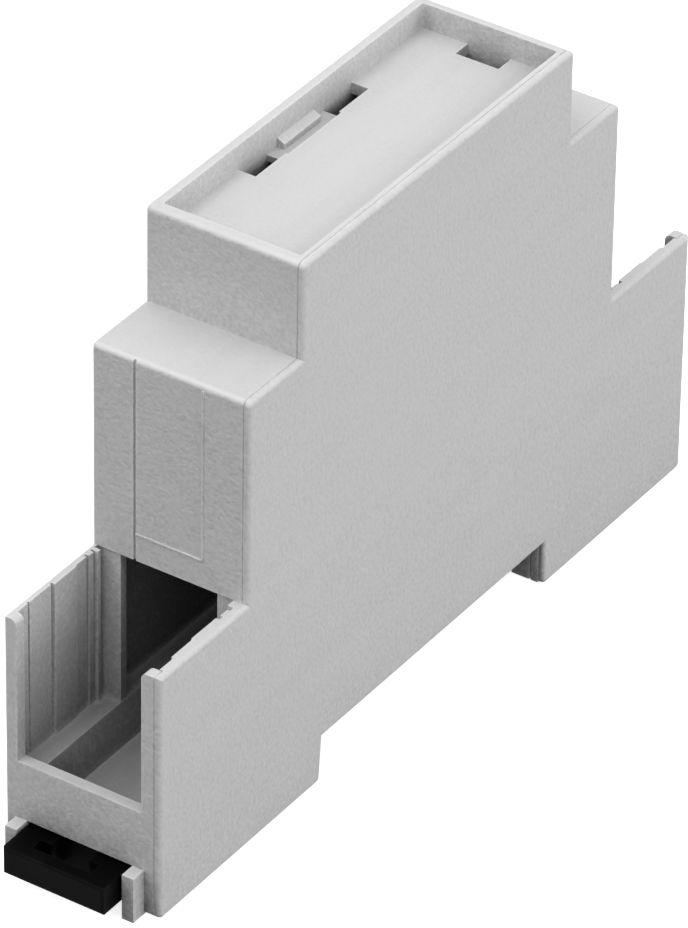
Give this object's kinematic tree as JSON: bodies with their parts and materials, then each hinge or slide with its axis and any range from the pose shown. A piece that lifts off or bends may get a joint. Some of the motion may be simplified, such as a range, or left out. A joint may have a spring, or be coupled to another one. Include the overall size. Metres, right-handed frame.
{
  "type": "din rail enclosure",
  "caption": "Narrow moulded enclosure for rail mounting, with a stepped outline, open terminal bays, a recessed front and a sliding rail clip.",
  "frame": {"origin": "on the rail seat, at the rail's centre line and midway across the case's width", "axes": "+X along the rail towards the side cover, +Y along the case from the clip to the fixed hook, +Z away from the rail"},
  "size_m": [0.0176, 0.0943, 0.06],
  "materials": {
    "case_plastic": "light grey moulded plastic with a fine spark texture",
    "clip_plastic": "black moulded plastic, slightly satin"
  },
  "bodies": {
    "housing": {"housing": "case_plastic", "side_cover": "case_plastic"},
    "clip": {"rail_clip": "clip_plastic"}
  },
  "joints": [
    {"name": "clip_slide", "type": "slide", "parent": "housing", "child": "clip", "axis": [0, -1, 0], "range_m": [0, 0.0034], "stiffness_N_per_m": 3000}
  ]
}
